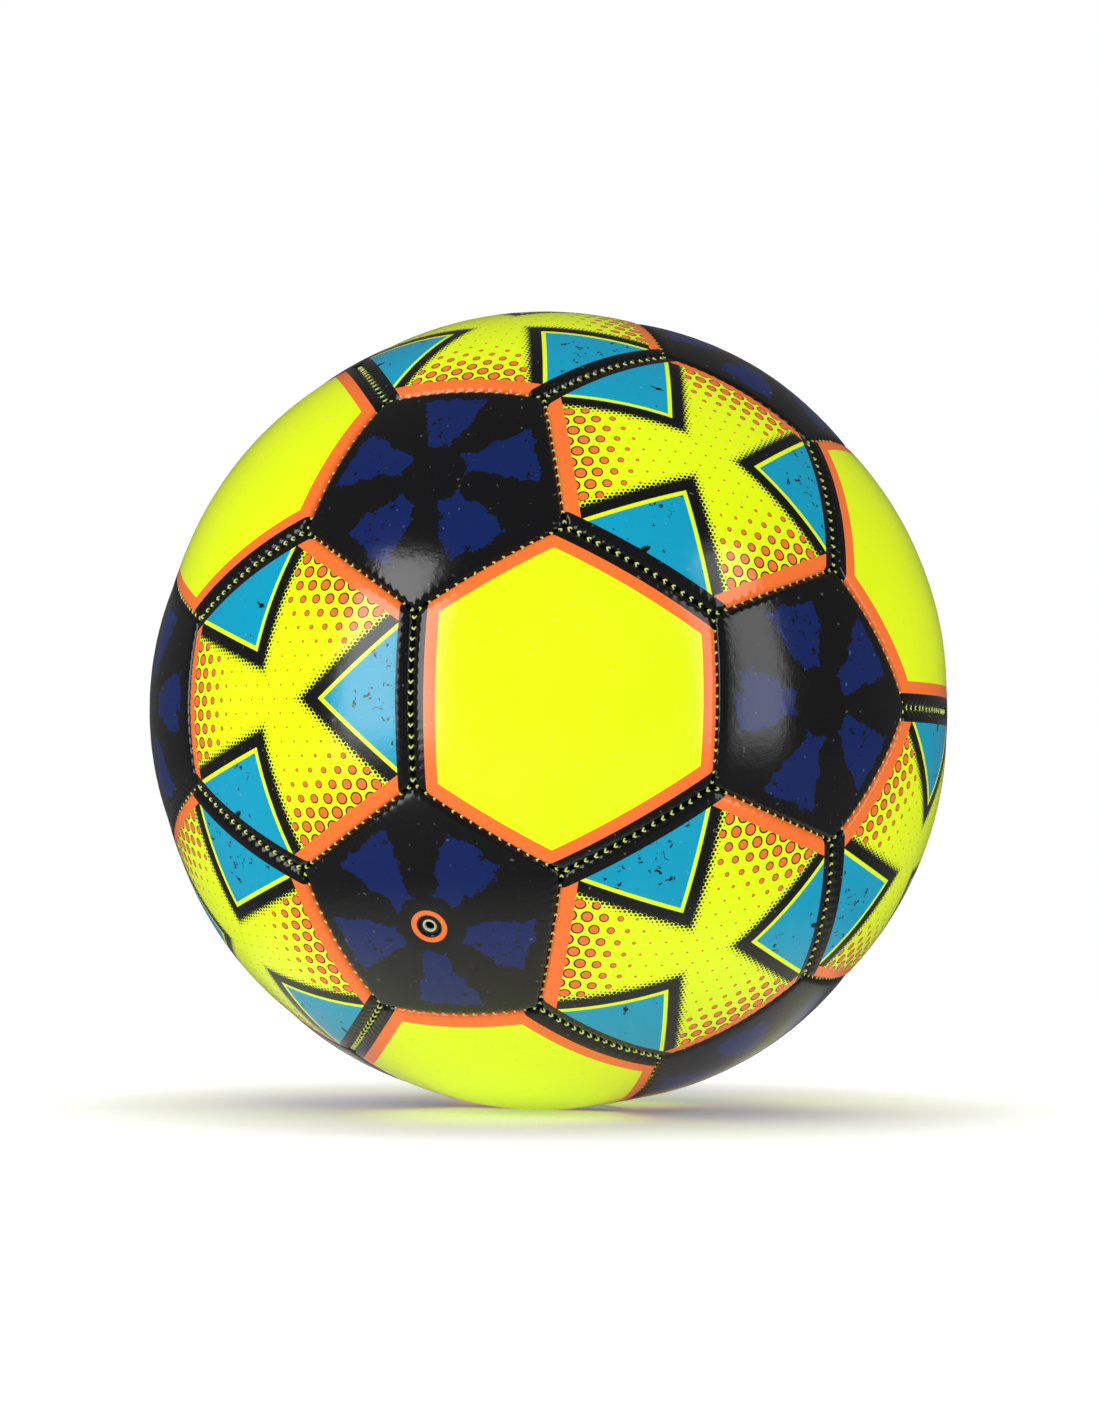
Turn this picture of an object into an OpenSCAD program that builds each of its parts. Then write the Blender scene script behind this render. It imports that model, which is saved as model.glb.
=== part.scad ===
// Stitched soccer ball: 12 pentagon and 20 hexagon cover panels over foam and cloth, an air
// bladder, and a boot valve with a removable plug. Millimetres. The origin is the ball's centre,
// -Y runs through the centre of the front hexagon, and +Z is up.

/* [Ball] */
// Diameter of the inflated ball over the crowns of its panels
ball_d = 220; // [205:1:225]
// Height of a panel's crown above the middle of its seams
pillow_rise = 1; // [0.6:0.1:1.4]
// Open gap between two panels along a seam
seam_gap = 0.3; // [0.2:0.05:0.5]
// Radius of the roll where a panel turns down into a seam
roll_r = 3.2; // [2.6:0.1:3.6]

/* [Panel layers] */
// Thickness of the cover, and of the lips that it turns down along the seams
cover_t = 1.4; // [1:0.1:1.8]
// Thickness of the foam under a panel's crown
foam_t = 3; // [2.6:0.1:4]
// Thickness of the cloth lining
lining_t = 1; // [0.6:0.1:1.6]
// Glue line between two bonded layers
bond_gap = 0.15; // [0.1:0.01:0.2]

/* [Seam thread] */
// Thickness of the seam thread
thread_d = 1; // [0.7:0.05:1.2]
// Clearance between the thread and the panels on both sides of it
thread_gap = 0.15; // [0.1:0.01:0.3]

/* [Bladder] */
// Wall of the air bladder
bladder_t = 0.9; // [0.6:0.1:1.5]
// Clearance between the bladder and the panels' lining
bladder_gap = 0.2; // [0.15:0.05:0.5]
// Diameter of the patch that stiffens the bladder round the valve
patch_d = 36; // [28:1:50]
// Thickness of the patch
patch_t = 1; // [0.6:0.1:1.6]

/* [Valve boot] */
// Diameter of the boot's body, under the cover
boot_d = 9; // [8:0.5:12]
// Diameter of the boot's neck, which shows in the cover
boot_neck_d = 5.2; // [4.8:0.1:6]
// Depth of the neck's top below the panel's crown
boot_recess = 0.7; // [0.3:0.1:1.2]
// Diameter of the flange that holds the boot to the patch
flange_d = 22; // [16:1:26]
// Thickness of the flange
flange_t = 1.2; // [0.8:0.1:2]
// Thickness of the boot's floor, which stops the plug
boot_floor = 2; // [1:0.1:4]
// Diameter of the air way through the floor
air_d = 2.4; // [1.6:0.1:3]
// Clearance round the boot in the cover, the layers and the bladder
boot_gap = 0.2; // [0.1:0.05:0.4]

/* [Valve plug] */
// Diameter of the plug
plug_d = 3.7; // [3.5:0.1:4.2]
// Length of the plug
plug_l = 12.5; // [11:0.5:16]
// Depth of the plug's top below the panel's crown
plug_recess = 0.5; // [0.2:0.1:1]
// Running clearance on each side of the plug in the boot
plug_fit = 0.05; // [0.03:0.01:0.1]
// Clearance between the plug and the boot's floor
plug_seat_gap = 0.1; // [0.05:0.05:0.3]
// Bevel round both ends of the plug
plug_bevel = 0.2; // [0.1:0.05:0.3]
// Diameter of the bore that guides the pump's needle
needle_d = 2.3; // [1.8:0.1:2.5]
// Depth of that bore from the plug's top
needle_depth = 8; // [6:0.5:9]
// Diameter of the funnel at the bore's mouth
mouth_d = 2.8; // [2.6:0.1:3]
// Depth of the funnel
mouth_depth = 0.8; // [0.4:0.1:1.5]
// Width of the slit that the needle opens
slit_w = 0.2; // [0.1:0.05:0.3]
// Length of the slit across the plug
slit_l = 2; // [1:0.1:2.4]

/* [Hidden] */
$fn = 144;
// Height by which a roll stands proud of the two faces it joins, so that they cross cleanly
roll_proud = 0.05;
// Reach of a cutting solid past the face that it cuts
cut_over = 1;

// Icosahedron whose corners are the pentagons' axes and whose faces give the hexagons' axes
phi = (1 + sqrt(5)) / 2;
ico_corners = [for (a = [-1, 1], b = [-phi, phi]) each [[0, a, b], [a, b, 0], [b, 0, a]]];
ico_edge = 2;
valve_corner = [-phi, 0, -1];
pent_sides = 5;
hex_sides = 6;

// Angles at the ball's centre: panel axis to the middle of a side, between axes, and half of a side
hex_half = acos(sqrt(5) / 3) / 2;
pent_to_hex = acos(sqrt((5 + 2 * sqrt(5)) / 15));
pent_half = pent_to_hex - hex_half;
side_half = atan(sin(hex_half) * tan(180 / hex_sides));
// Allowance when lengths or angles between axes are compared
same_length = 0.01;
same_angle = 1;
// Turn about +Z that brings the front hexagon's axis onto -Y
front_turn = 90 - hex_half;

// Radii of the layers, from the outside in
ball_r = ball_d / 2;
seam_r = ball_r - pillow_rise;
foam_in_r = ball_r - cover_t - bond_gap - foam_t;
lining_out_r = foam_in_r - bond_gap;
lining_in_r = lining_out_r - lining_t;
bladder_r = lining_in_r - bladder_gap;
patch_r = bladder_r - bladder_t - bond_gap;
flange_r = patch_r - patch_t - bond_gap;

// Heights along the valve's axis
plug_top = ball_r - plug_recess;
plug_bottom = plug_top - plug_l;
boot_top = ball_r - boot_recess;
boot_bore_bottom = plug_bottom - plug_seat_gap;
boot_bottom = boot_bore_bottom - boot_floor;
boot_bore_d = plug_d + 2 * plug_fit;

// Inset of the foam and the lining from the cover's outside
foam_inset = cover_t + bond_gap;

function unit(v) = v / norm(v);
function turned(v) =
    [v.x * cos(front_turn) - v.y * sin(front_turn), v.x * sin(front_turn) + v.y * cos(front_turn), v.z];
function is_beside(a, b) = abs(norm(a - b) - ico_edge) < same_length;
function is_at_angle(a, b, angle) = abs(acos(a * b) - angle) < same_angle;
function all_at_angle(axis, others, angle) = [for (o = others) if (is_at_angle(axis, o, angle)) o];

// Axes of the panels, as unit vectors; the pentagon that holds the valve comes first
valve_axis = turned(unit(valve_corner));
last_pent = len(ico_corners) - 1;
pentagon_axes = concat(
    [valve_axis],
    [for (c = ico_corners) if (c != valve_corner) turned(unit(c))]
);
hexagon_axes = [
    for (i = [0 : last_pent - 2], j = [i + 1 : last_pent - 1], k = [j + 1 : last_pent])
        let (a = ico_corners[i], b = ico_corners[j], c = ico_corners[k])
            if (is_beside(a, b) && is_beside(b, c) && is_beside(a, c)) turned(unit(a + b + c))
];
last_hex = len(hexagon_axes) - 1;

// Names of the panels, numbered from 01
function numbered(name, n) = str(name, n < 10 ? "_0" : "_", n);
pentagon_names = [
    for (i = [0 : last_pent]) i == 0 ? "valve_pentagon_panel" : numbered("pentagon_panel", i)
];
hexagon_names = [for (i = [0 : last_hex]) numbered("hexagon_panel", i + 1)];

// A panel's dome is centred above the ball's centre, so that it meets its seams lower than its crown
function dome_center(half) = (ball_r ^ 2 - seam_r ^ 2) / (2 * (ball_r - seam_r * cos(half)));
function dome_r(half) = ball_r - dome_center(half);

// Place of a panel's side wall and of its roll, seen from the dome's centre across the seam
function wall_y(half, inset) = dome_center(half) * sin(half) - seam_gap / 2 - inset;
function roll_y(half, inset) = wall_y(half, inset) - (roll_r - inset);
function roll_z(half, inset) = sqrt((dome_r(half) - roll_r) ^ 2 - roll_y(half, inset) ^ 2);

// Radius at which a thread rests on the rolls of a panel, with its clearance
function thread_rest_r(half) =
    dome_center(half) * cos(half) + roll_z(half, 0) + roll_proud
    + sqrt((roll_r + thread_gap + thread_d / 2) ^ 2 - (roll_r - roll_proud + seam_gap / 2) ^ 2);

// Puts +Z on an axis and +X towards a second direction
module on_axis(axis, towards) {
    x_axis = unit(towards - axis * (towards * axis));
    y_axis = cross(axis, x_axis);
    multmatrix([
        [x_axis.x, y_axis.x, axis.x, 0],
        [x_axis.y, y_axis.y, axis.y, 0],
        [x_axis.z, y_axis.z, axis.z, 0],
        [0, 0, 0, 1]
    ]) children();
}

// Stands a child on a pentagon, with a hexagon on its +X side
module on_pentagon(i) {
    axis = pentagon_axes[i];
    on_axis(axis, all_at_angle(axis, hexagon_axes, pent_to_hex)[0]) children();
}

// Stands a child on a hexagon, with a pentagon on its +X side
module on_hexagon(i) {
    axis = hexagon_axes[i];
    on_axis(axis, all_at_angle(axis, pentagon_axes, pent_to_hex)[0]) children();
}

// Puts a child on the middle of each side of a panel: +Z outwards, +X across the seam, Y along it
module on_sides(sides, half) {
    for (k = [0 : sides - 1])
        rotate([0, 0, k * 360 / sides])
            rotate([0, half, 0])
                children();
}

// Sweeps a profile along a seam, about an axis across the seam
module along_seam(angle) {
    rotate([0, 90, 0])
        rotate([0, 0, 180 - angle / 2])
            rotate_extrude(angle = angle)
                children();
}

module ball(r) {
    rotate([90, 0, 0]) sphere(r);
}

// Everything beyond a panel's side wall
module beyond_wall(inset) {
    translate([-seam_gap / 2 - inset, -ball_d, -ball_d]) cube(2 * ball_d);
}

// What the roll takes off along one side of a panel
module roll_cut(half, inset) {
    r = roll_r - inset;
    dome = dome_r(half) - inset;
    inner_y = roll_y(half, inset) * dome / (dome - r);
    side_angle = 2 * asin((ball_r * sin(side_half) + 2 * roll_r) / dome);
    translate([-dome_center(half) * sin(half), 0, dome_center(half) * cos(half)])
        along_seam(side_angle)
            difference() {
                translate([roll_z(half, inset) + roll_proud, inner_y])
                    square([r + cut_over, wall_y(half, inset) + cut_over - inner_y]);
                translate([roll_z(half, inset) + roll_proud, roll_y(half, inset) + roll_proud])
                    circle(r);
            }
}

// Domed wedge with rolled edges, from the ball's centre out to a panel's face less the inset
module pillow(sides, half, inset) {
    difference() {
        translate([0, 0, dome_center(half)]) ball(dome_r(half) - inset);
        on_sides(sides, half) beyond_wall(inset);
        on_sides(sides, half) roll_cut(half, inset);
    }
}

// Cover of one panel, with its edges turned down into the seams
module cover(sides, half) {
    difference() {
        pillow(sides, half, 0);
        pillow(sides, half, cover_t);
        ball(lining_in_r);
    }
}

module foam_pad(sides, half) {
    difference() {
        pillow(sides, half, foam_inset);
        ball(foam_in_r);
    }
}

module lining(sides, half) {
    difference() {
        ball(lining_out_r);
        on_sides(sides, half) beyond_wall(foam_inset);
        ball(lining_in_r);
    }
}

// Thread along one seam, stopped short of the corners
module seam_thread(r) {
    corner_stop = asin((thread_d / 2 + thread_gap) / r);
    along_seam(2 * (side_half - corner_stop))
        translate([r, 0])
            circle(d = thread_d);
}

// Round hole for a piece of the valve
module valve_hole(d) {
    translate([0, 0, boot_bottom]) cylinder(d = d + 2 * boot_gap, h = ball_r);
}

module valve_pentagon_panel() {
    color([0.09, 0.09, 0.11])
        on_pentagon(0)
            difference() {
                cover(pent_sides, pent_half);
                valve_hole(boot_neck_d);
            }
}

module pentagon_panel(i) {
    color([0.09, 0.09, 0.11]) on_pentagon(i) cover(pent_sides, pent_half);
}

module hexagon_panel(i) {
    color([0.86, 1, 0.05]) on_hexagon(i) cover(hex_sides, hex_half);
}

module pentagon_foam_pads() {
    color([0.93, 0.92, 0.86]) {
        on_pentagon(0)
            difference() {
                foam_pad(pent_sides, pent_half);
                valve_hole(boot_d);
            }
        for (i = [1 : last_pent])
            on_pentagon(i) foam_pad(pent_sides, pent_half);
    }
}

module hexagon_foam_pads() {
    color([0.93, 0.92, 0.86])
        for (i = [0 : last_hex])
            on_hexagon(i) foam_pad(hex_sides, hex_half);
}

module pentagon_linings() {
    color([0.85, 0.83, 0.76]) {
        on_pentagon(0)
            difference() {
                lining(pent_sides, pent_half);
                valve_hole(boot_d);
            }
        for (i = [1 : last_pent])
            on_pentagon(i) lining(pent_sides, pent_half);
    }
}

module hexagon_linings() {
    color([0.85, 0.83, 0.76])
        for (i = [0 : last_hex])
            on_hexagon(i) lining(hex_sides, hex_half);
}

// Thread in the seams round the pentagons
module pentagon_seam_thread() {
    r = max(thread_rest_r(hex_half), thread_rest_r(pent_half));
    color([0.88, 0.92, 0.55])
        for (axis = pentagon_axes, beside = all_at_angle(axis, hexagon_axes, pent_to_hex))
            on_axis(axis, beside) rotate([0, pent_half, 0]) seam_thread(r);
}

// Thread in the seams between two hexagons
module hexagon_seam_thread() {
    color([0.88, 0.92, 0.55])
        for (i = [0 : last_hex - 1], j = [i + 1 : last_hex])
            if (is_at_angle(hexagon_axes[i], hexagon_axes[j], 2 * hex_half))
                on_axis(hexagon_axes[i], hexagon_axes[j])
                    rotate([0, hex_half, 0])
                        seam_thread(thread_rest_r(hex_half));
}

module bladder() {
    color([0.16, 0.16, 0.17])
        on_pentagon(0)
            difference() {
                ball(bladder_r);
                ball(bladder_r - bladder_t);
                valve_hole(boot_d);
            }
}

module valve_patch() {
    color([0.22, 0.22, 0.24])
        on_pentagon(0)
            difference() {
                intersection() {
                    ball(patch_r);
                    cylinder(d = patch_d, h = ball_r);
                }
                ball(patch_r - patch_t);
                valve_hole(boot_d);
            }
}

// The boot's body stops under the cover, and its neck goes on up through the cover's hole
module valve_boot() {
    half = pent_half;
    shoulder = dome_center(half) + sqrt((dome_r(half) - foam_inset) ^ 2 - (boot_d / 2) ^ 2);
    color([0.07, 0.07, 0.08])
        on_pentagon(0)
            difference() {
                union() {
                    translate([0, 0, boot_bottom]) cylinder(d = boot_d, h = shoulder - boot_bottom);
                    translate([0, 0, boot_bottom]) cylinder(d = boot_neck_d, h = boot_top - boot_bottom);
                    difference() {
                        intersection() {
                            ball(flange_r);
                            cylinder(d = flange_d, h = ball_r);
                        }
                        ball(flange_r - flange_t);
                    }
                }
                translate([0, 0, boot_bore_bottom]) cylinder(d = boot_bore_d, h = ball_r);
                translate([0, 0, boot_bottom - cut_over]) cylinder(d = air_d, h = ball_r);
            }
}

// Plug with the needle's bore from its top and a slit through its closed end
module valve_plug() {
    straight = plug_l - 2 * plug_bevel;
    color([0.8, 0.8, 0.7])
        on_pentagon(0)
            difference() {
                translate([0, 0, plug_bottom]) {
                    cylinder(d1 = plug_d - 2 * plug_bevel, d2 = plug_d, h = plug_bevel);
                    translate([0, 0, plug_bevel]) cylinder(d = plug_d, h = straight);
                    translate([0, 0, plug_bevel + straight])
                        cylinder(d1 = plug_d, d2 = plug_d - 2 * plug_bevel, h = plug_bevel);
                }
                translate([0, 0, plug_top - needle_depth])
                    cylinder(d = needle_d, h = needle_depth + cut_over);
                translate([0, 0, plug_top - mouth_depth])
                    cylinder(d1 = needle_d, d2 = mouth_d, h = mouth_depth);
                translate([-slit_l / 2, -slit_w / 2, plug_bottom - cut_over])
                    cube([slit_l, slit_w, plug_l - needle_depth + 2 * cut_over]);
            }
}

valve_pentagon_panel();
for (i = [1 : last_pent])
    pentagon_panel(i);
for (i = [0 : last_hex])
    hexagon_panel(i);
pentagon_foam_pads();
hexagon_foam_pads();
pentagon_linings();
hexagon_linings();
pentagon_seam_thread();
hexagon_seam_thread();
bladder();
valve_patch();
valve_boot();
valve_plug();
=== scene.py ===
import functools
import itertools
import math

import bpy
import numpy as np
from mathutils import Matrix, Vector, noise


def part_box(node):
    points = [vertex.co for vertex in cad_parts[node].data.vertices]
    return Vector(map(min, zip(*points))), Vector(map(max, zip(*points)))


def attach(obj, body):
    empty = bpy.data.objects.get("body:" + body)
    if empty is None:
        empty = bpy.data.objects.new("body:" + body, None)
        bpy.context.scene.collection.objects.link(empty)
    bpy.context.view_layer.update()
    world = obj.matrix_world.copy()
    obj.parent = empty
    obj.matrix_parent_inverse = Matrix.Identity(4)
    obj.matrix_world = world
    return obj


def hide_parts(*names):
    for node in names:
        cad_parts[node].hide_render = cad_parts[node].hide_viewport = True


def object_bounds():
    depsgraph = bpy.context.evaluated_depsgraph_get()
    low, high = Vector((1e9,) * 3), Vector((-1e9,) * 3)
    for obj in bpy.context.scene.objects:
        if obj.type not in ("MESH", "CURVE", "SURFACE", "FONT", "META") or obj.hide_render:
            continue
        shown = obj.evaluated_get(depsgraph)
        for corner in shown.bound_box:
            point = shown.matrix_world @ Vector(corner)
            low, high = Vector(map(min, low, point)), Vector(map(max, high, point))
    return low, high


bl_info = {
    "name": "Stitched Soccer Ball",
    "version": (1, 0, 0),
    "blender": (4, 5, 0),
    "location": "View3D > Sidebar > Soccer Ball",
    "description": "Printed panels, seam stitches, valve and studio of a stitched soccer ball",
    "category": "Object",
}

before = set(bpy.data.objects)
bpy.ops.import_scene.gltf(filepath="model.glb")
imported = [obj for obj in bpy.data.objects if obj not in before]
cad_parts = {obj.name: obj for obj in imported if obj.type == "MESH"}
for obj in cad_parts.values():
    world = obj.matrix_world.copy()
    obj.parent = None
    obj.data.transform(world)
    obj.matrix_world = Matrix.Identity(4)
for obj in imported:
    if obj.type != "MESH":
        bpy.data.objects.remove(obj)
CAD_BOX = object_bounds()

MM = 0.001
BALL_BODY = "ball"
PRINT = "print_place"
BAKE_MAP = "OFBake"
# Least divisor where a length may be nothing
TINY = 1e-9

# Layout of the 32 panels: their sides, and angles from an axis to a side's middle and between axes
HEX_SIDES = 6
PENT_SIDES = 5
PHI = (1 + math.sqrt(5)) / 2
HEX_HALF = math.acos(math.sqrt(5) / 3) / 2
PENT_TO_HEX = math.acos(math.sqrt((5 + 2 * math.sqrt(5)) / 15))
PENT_HALF = PENT_TO_HEX - HEX_HALF
CORNER_ANGLE = math.acos(1 / math.sqrt(5))
CUBE_EDGE = math.acos(1 / 3)
FRONT_TURN = math.pi / 2 - HEX_HALF
FRONT = np.array((0.0, -1.0, 0.0))
# Angles that count as the same, and digits to which directions are told apart
SAME_ANGLE = math.radians(1)
SAME_DIGITS = 4

# Print: softness of its edges, and how far the rays' edges are torn
INK_EDGE = 0.06 * MM
RAY_TEAR = 9 * MM
# Dots, in shares of their pitch: radius near a pentagon and far from it, and softness of the edge
DOT_SIZES = (0.31, 0.05)
DOT_EDGE = 0.025
# Radius of a dot's dark rim over that of the dot
DOT_RIM = 1.3
# Fine dots, in shares of their pitch: largest radius, and softness of the edge
HALFTONE_SIZE = 0.62
HALFTONE_EDGE = 0.05

# Noise cells to a metre in the cover's grain and in worn ink, and to a radius in the unevenness
GRAIN_SCALE = 2000.0
WEAR_SCALE = 130.0
SLACK_SCALE = 4.5
# Cover's finish: depth and strength of its grain, specular level, and the dust in its specks
GRAIN_DEPTH = 0.05 * MM
GRAIN_STRENGTH = 0.8
COVER_GLOSS = 0.6
DUST = (0.4, 0.4, 0.37)
DUST_SHOWN = 0.2


def srgb(red, green, blue):
    """Linear colour for an 8-bit display colour."""
    def linear(level):
        level /= 255
        return level / 12.92 if level <= 0.04045 else ((level + 0.055) / 1.055) ** 2.4
    return (linear(red), linear(green), linear(blue))


def length_prop(name, description, millimetres):
    """A length that the user can set, with its default in millimetres."""
    return bpy.props.FloatProperty(
        name=name, description=description, default=millimetres * MM, unit="LENGTH", precision=5
    )


def colour_prop(name, description, red, green, blue):
    """A colour that the user can set, with its default as an 8-bit display colour."""
    return bpy.props.FloatVectorProperty(
        name=name, description=description, default=srgb(red, green, blue),
        subtype="COLOR", min=0.0, max=1.0,
    )


class BallSizes(bpy.types.PropertyGroup):
    """Shape of the panels, stitches and valve."""

    radius: bpy.props.FloatProperty(
        name="Radius", description="Radius of the ball over the crowns of its panels",
        default=(CAD_BOX[1].y - CAD_BOX[0].y) / 2, unit="LENGTH", precision=5,
    )
    pillow_rise: length_prop("Pillow Rise", "Height of a panel's crown above its seams", 1.0)
    roll: length_prop("Edge Roll", "Radius at which an edge turns into a hexagon seam", 2.3)
    tight_roll: length_prop("Tight Roll", "Radius at which an edge turns into a pentagon seam", 1.7)
    cover: length_prop("Cover", "Thickness of the cover", 1.4)
    lip: length_prop("Lip", "Depth of the turned-down lip below the ball's crown", 5.6)
    pucker: length_prop("Pucker", "Depth to which a stitch pulls the panel's edge in", 0.45)
    pucker_reach: length_prop("Pucker Reach", "Reach of a pucker from the seam", 2.0)
    slack: length_prop("Slack", "Height of the slow unevenness of the cover", 0.12)
    stitches: bpy.props.IntProperty(
        name="Stitches", description="Stitches along one seam", default=16, min=4, max=30
    )
    thread: length_prop("Thread", "Thickness of the sewing thread", 0.5)
    valve_hole: length_prop("Valve Hole", "Radius of the hole in the valve panel", 2.8)
    # Radius from the valve's axis inside which shade is painted on the plug
    needle_bore: length_prop("Needle Bore", "Radius inside which the valve plug is dark", 1.2)
    valve_dimple: length_prop("Valve Dimple", "Depth of the cover's dimple at the valve", 0.45)
    dimple_reach: length_prop("Dimple Reach", "Reach of the dimple from the valve's axis", 5.5)


class BallPrint(bpy.types.PropertyGroup):
    """Widths of the printed bands, rings and dots."""

    dark_band: length_prop("Dark Band", "Dark band on each side of a hexagon seam", 3.8)
    line_band: length_prop("Line Band", "Orange band beside the dark band", 3.2)
    pentagon_band: length_prop("Pentagon Band", "Orange band round a pentagon", 4.3)
    diamond_height: length_prop("Diamond Height", "Reach of a blue diamond from its seam", 24.0)
    diamond_width: length_prop("Diamond Width", "Width of a blue diamond along its seam", 42.0)
    diamond_line: length_prop("Diamond Line", "Yellow line round a blue diamond", 1.1)
    diamond_rim: length_prop("Diamond Rim", "Dark rim round a blue diamond", 1.9)
    halftone: length_prop("Halftone", "Pitch of the fine fading dots", 1.15)
    halftone_reach: length_prop("Halftone Reach", "Width over which the fine dots fade", 4.5)
    dots: length_prop("Dots", "Pitch of the large round dots", 4.2)
    dots_reach: length_prop("Dots Reach", "Distance from a pentagon where the dots are small", 26.0)
    ring_inner: length_prop("Ring Inner", "Inner radius of the ring round the valve", 3.4)
    ring_outer: length_prop("Ring Outer", "Outer radius of the ring round the valve", 4.8)
    ray_start: length_prop("Ray Start", "Inner end of the dark blue rays on a pentagon", 9.0)
    ray_margin: length_prop("Ray Margin", "Gap from the dark blue rays to the seams", 5.0)


class BallColours(bpy.types.PropertyGroup):
    """Colours of the print, thread and rubber, and of the shade painted inside the valve plug's
    hole.
    """

    yellow: colour_prop("Yellow", "Field of a hexagon", 231, 253, 3)
    orange: colour_prop("Orange", "Bands and dots", 247, 118, 48)
    dark: colour_prop("Dark", "Pentagons and bands", 14, 14, 16)
    navy: colour_prop("Navy", "Tonal print on a pentagon", 10, 32, 90)
    blue: colour_prop("Blue", "Diamonds on the printed hexagons", 0, 156, 192)
    thread: colour_prop("Thread", "Sewing thread", 222, 236, 128)
    boot: colour_prop("Boot", "Rubber of the valve boot", 22, 22, 24)
    plug: colour_prop("Plug", "Rubber of the valve plug", 205, 205, 176)
    # Painted shade: near black inside the valve plug's hole
    bore: colour_prop("Bore", "Inside of the valve plug's bore", 8, 8, 8)
    bladder: colour_prop("Bladder", "Rubber of the bladder and its patch", 38, 38, 40)
    foam: colour_prop("Foam", "Foam under the panels", 238, 236, 222)
    lining: colour_prop("Lining", "Cloth lining", 214, 208, 190)


def sizes():
    """The sizes that the user has set."""
    return bpy.context.scene.ball_sizes


def prints():
    """The widths of the print that the user has set."""
    return bpy.context.scene.ball_print


def colours():
    """The colours that the user has set."""
    return bpy.context.scene.ball_colours


# Layout of the panels

def unit(vector):
    """A vector's direction, as a vector of length 1."""
    return vector / np.linalg.norm(vector)


def angle_between(a, b):
    return math.acos(max(-1.0, min(1.0, float(np.dot(a, b)))))


def side_angles(sides):
    """Angles of some equal steps round a circle."""
    return [2 * math.pi * k / sides for k in range(sides)]


def at_angle(axis, others, angle):
    """The axes that stand at an angle to one axis, the one nearest to the front first."""
    found = [other for other in others if abs(angle_between(axis, other) - angle) < SAME_ANGLE]
    return sorted(found, key=lambda other: -round(float(np.dot(other, FRONT)), SAME_DIGITS))


def pentagon_axes():
    """Corners of an icosahedron, turned so that a hexagon faces the front."""
    turn = np.array(Matrix.Rotation(FRONT_TURN, 3, "Z"))
    corners = []
    for a in (-1, 1):
        for b in (-PHI, PHI):
            corners += [(0, a, b), (a, b, 0), (b, 0, a)]
    return [turn @ unit(np.array(corner, float)) for corner in corners]


def hexagon_axes():
    """Middles of the icosahedron's faces."""
    axes = []
    for a, b, c in itertools.combinations(pentagon_axes(), 3):
        pairs = ((a, b), (b, c), (a, c))
        if all(abs(angle_between(*pair) - CORNER_ANGLE) < SAME_ANGLE for pair in pairs):
            axes.append(unit(a + b + c))
    return axes


def cube_axes():
    """The front hexagon's axis and the seven others that lie with it at the corners of a cube."""
    lowest = min(at_angle(FRONT, hexagon_axes(), CUBE_EDGE), key=lambda axis: axis[2])
    turns = [np.array(Matrix.Rotation(angle, 3, Vector(FRONT))) for angle in side_angles(3)]
    corners = [FRONT] + [turn @ lowest for turn in turns]
    return corners + [-corner for corner in corners]


def panel_turn(axis, towards):
    """Turn that puts +Z on an axis and +X towards a second direction, as columns."""
    x_axis = unit(towards - axis * np.dot(towards, axis))
    return np.column_stack((x_axis, np.cross(axis, x_axis), axis))


def panel_nodes(kind):
    """The CAD panels of one kind, each with the direction in which it lies."""
    found = {}
    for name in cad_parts:
        if kind in name and "panel" in name:
            low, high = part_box(name)
            found[name] = unit(np.array(low + high))
    return found


def nearest_node(axis, nodes):
    """Name of the panel that lies nearest to an axis."""
    return max(nodes, key=lambda name: np.dot(nodes[name], axis))


def valve_axis():
    """Axis of the pentagon that holds the valve plug."""
    low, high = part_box("valve_plug")
    return max(pentagon_axes(), key=lambda axis: np.dot(axis, low + high))


# Shape of a panel

def dome_centre(half):
    """Height of a panel's dome centre over the ball's centre."""
    size = sizes()
    seam = size.radius - size.pillow_rise
    return (size.radius ** 2 - seam ** 2) / (2 * (size.radius - seam * math.cos(half)))


def dome_radius(cosine, half):
    """Distance from the ball's centre to a panel's dome, by the cosine to its axis."""
    centre = dome_centre(half)
    radius = sizes().radius
    along = centre * cosine
    return along + np.sqrt(along ** 2 + radius ** 2 - 2 * radius * centre)


def side_normal(angle, half):
    """Inward normal of the plane through the ball's centre and one side of a panel."""
    return (-math.cos(half) * math.cos(angle), -math.cos(half) * math.sin(angle), math.sin(half))


def ring_rays(sides, half, inset, per_side, roundness=0.0):
    """Unit directions round a panel at an inset, and the share of a side that lies before each."""
    share = np.tile(np.arange(per_side) / per_side, sides)
    angle = np.repeat(side_angles(sides), per_side)
    step = (2 * share - 1) * math.tan(math.pi / sides)
    reach = math.tan(half - inset / sizes().radius)
    reach = reach * ((1 - roundness) + roundness / np.hypot(1, step))
    across = np.column_stack((
        reach * (np.cos(angle) - step * np.sin(angle)),
        reach * (np.sin(angle) + step * np.cos(angle)),
        np.ones(len(share)),
    ))
    return across / np.linalg.norm(across, axis=1, keepdims=True), share


def edge_drop(rays, share, sides, half):
    """How far a panel's face lies below its dome, from its rolled and puckered edges."""
    size = sizes()
    rolled, radius, pull = np.zeros((3, len(rays)))
    for k, angle in enumerate(side_angles(sides)):
        roll = size.roll if sides == HEX_SIDES and k % 2 else size.tight_roll
        distance = np.maximum(size.radius * (rays @ side_normal(angle, half)), 0)
        near = np.maximum(1 - distance / roll, 0) ** 2
        rolled += near
        radius += near * roll
        tight = roll / size.roll
        pull = np.maximum(pull, tight * np.exp(-((distance / (tight * size.pucker_reach)) ** 2)))
    radius /= np.maximum(rolled, TINY)
    # Each stitch pulls in the middle of its step along the side
    at_stitch = np.cos(math.pi * (size.stitches * share - 0.5)) ** 2
    return radius * (1 - np.sqrt(1 - np.minimum(rolled, 1))) + size.pucker * at_stitch * pull


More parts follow.
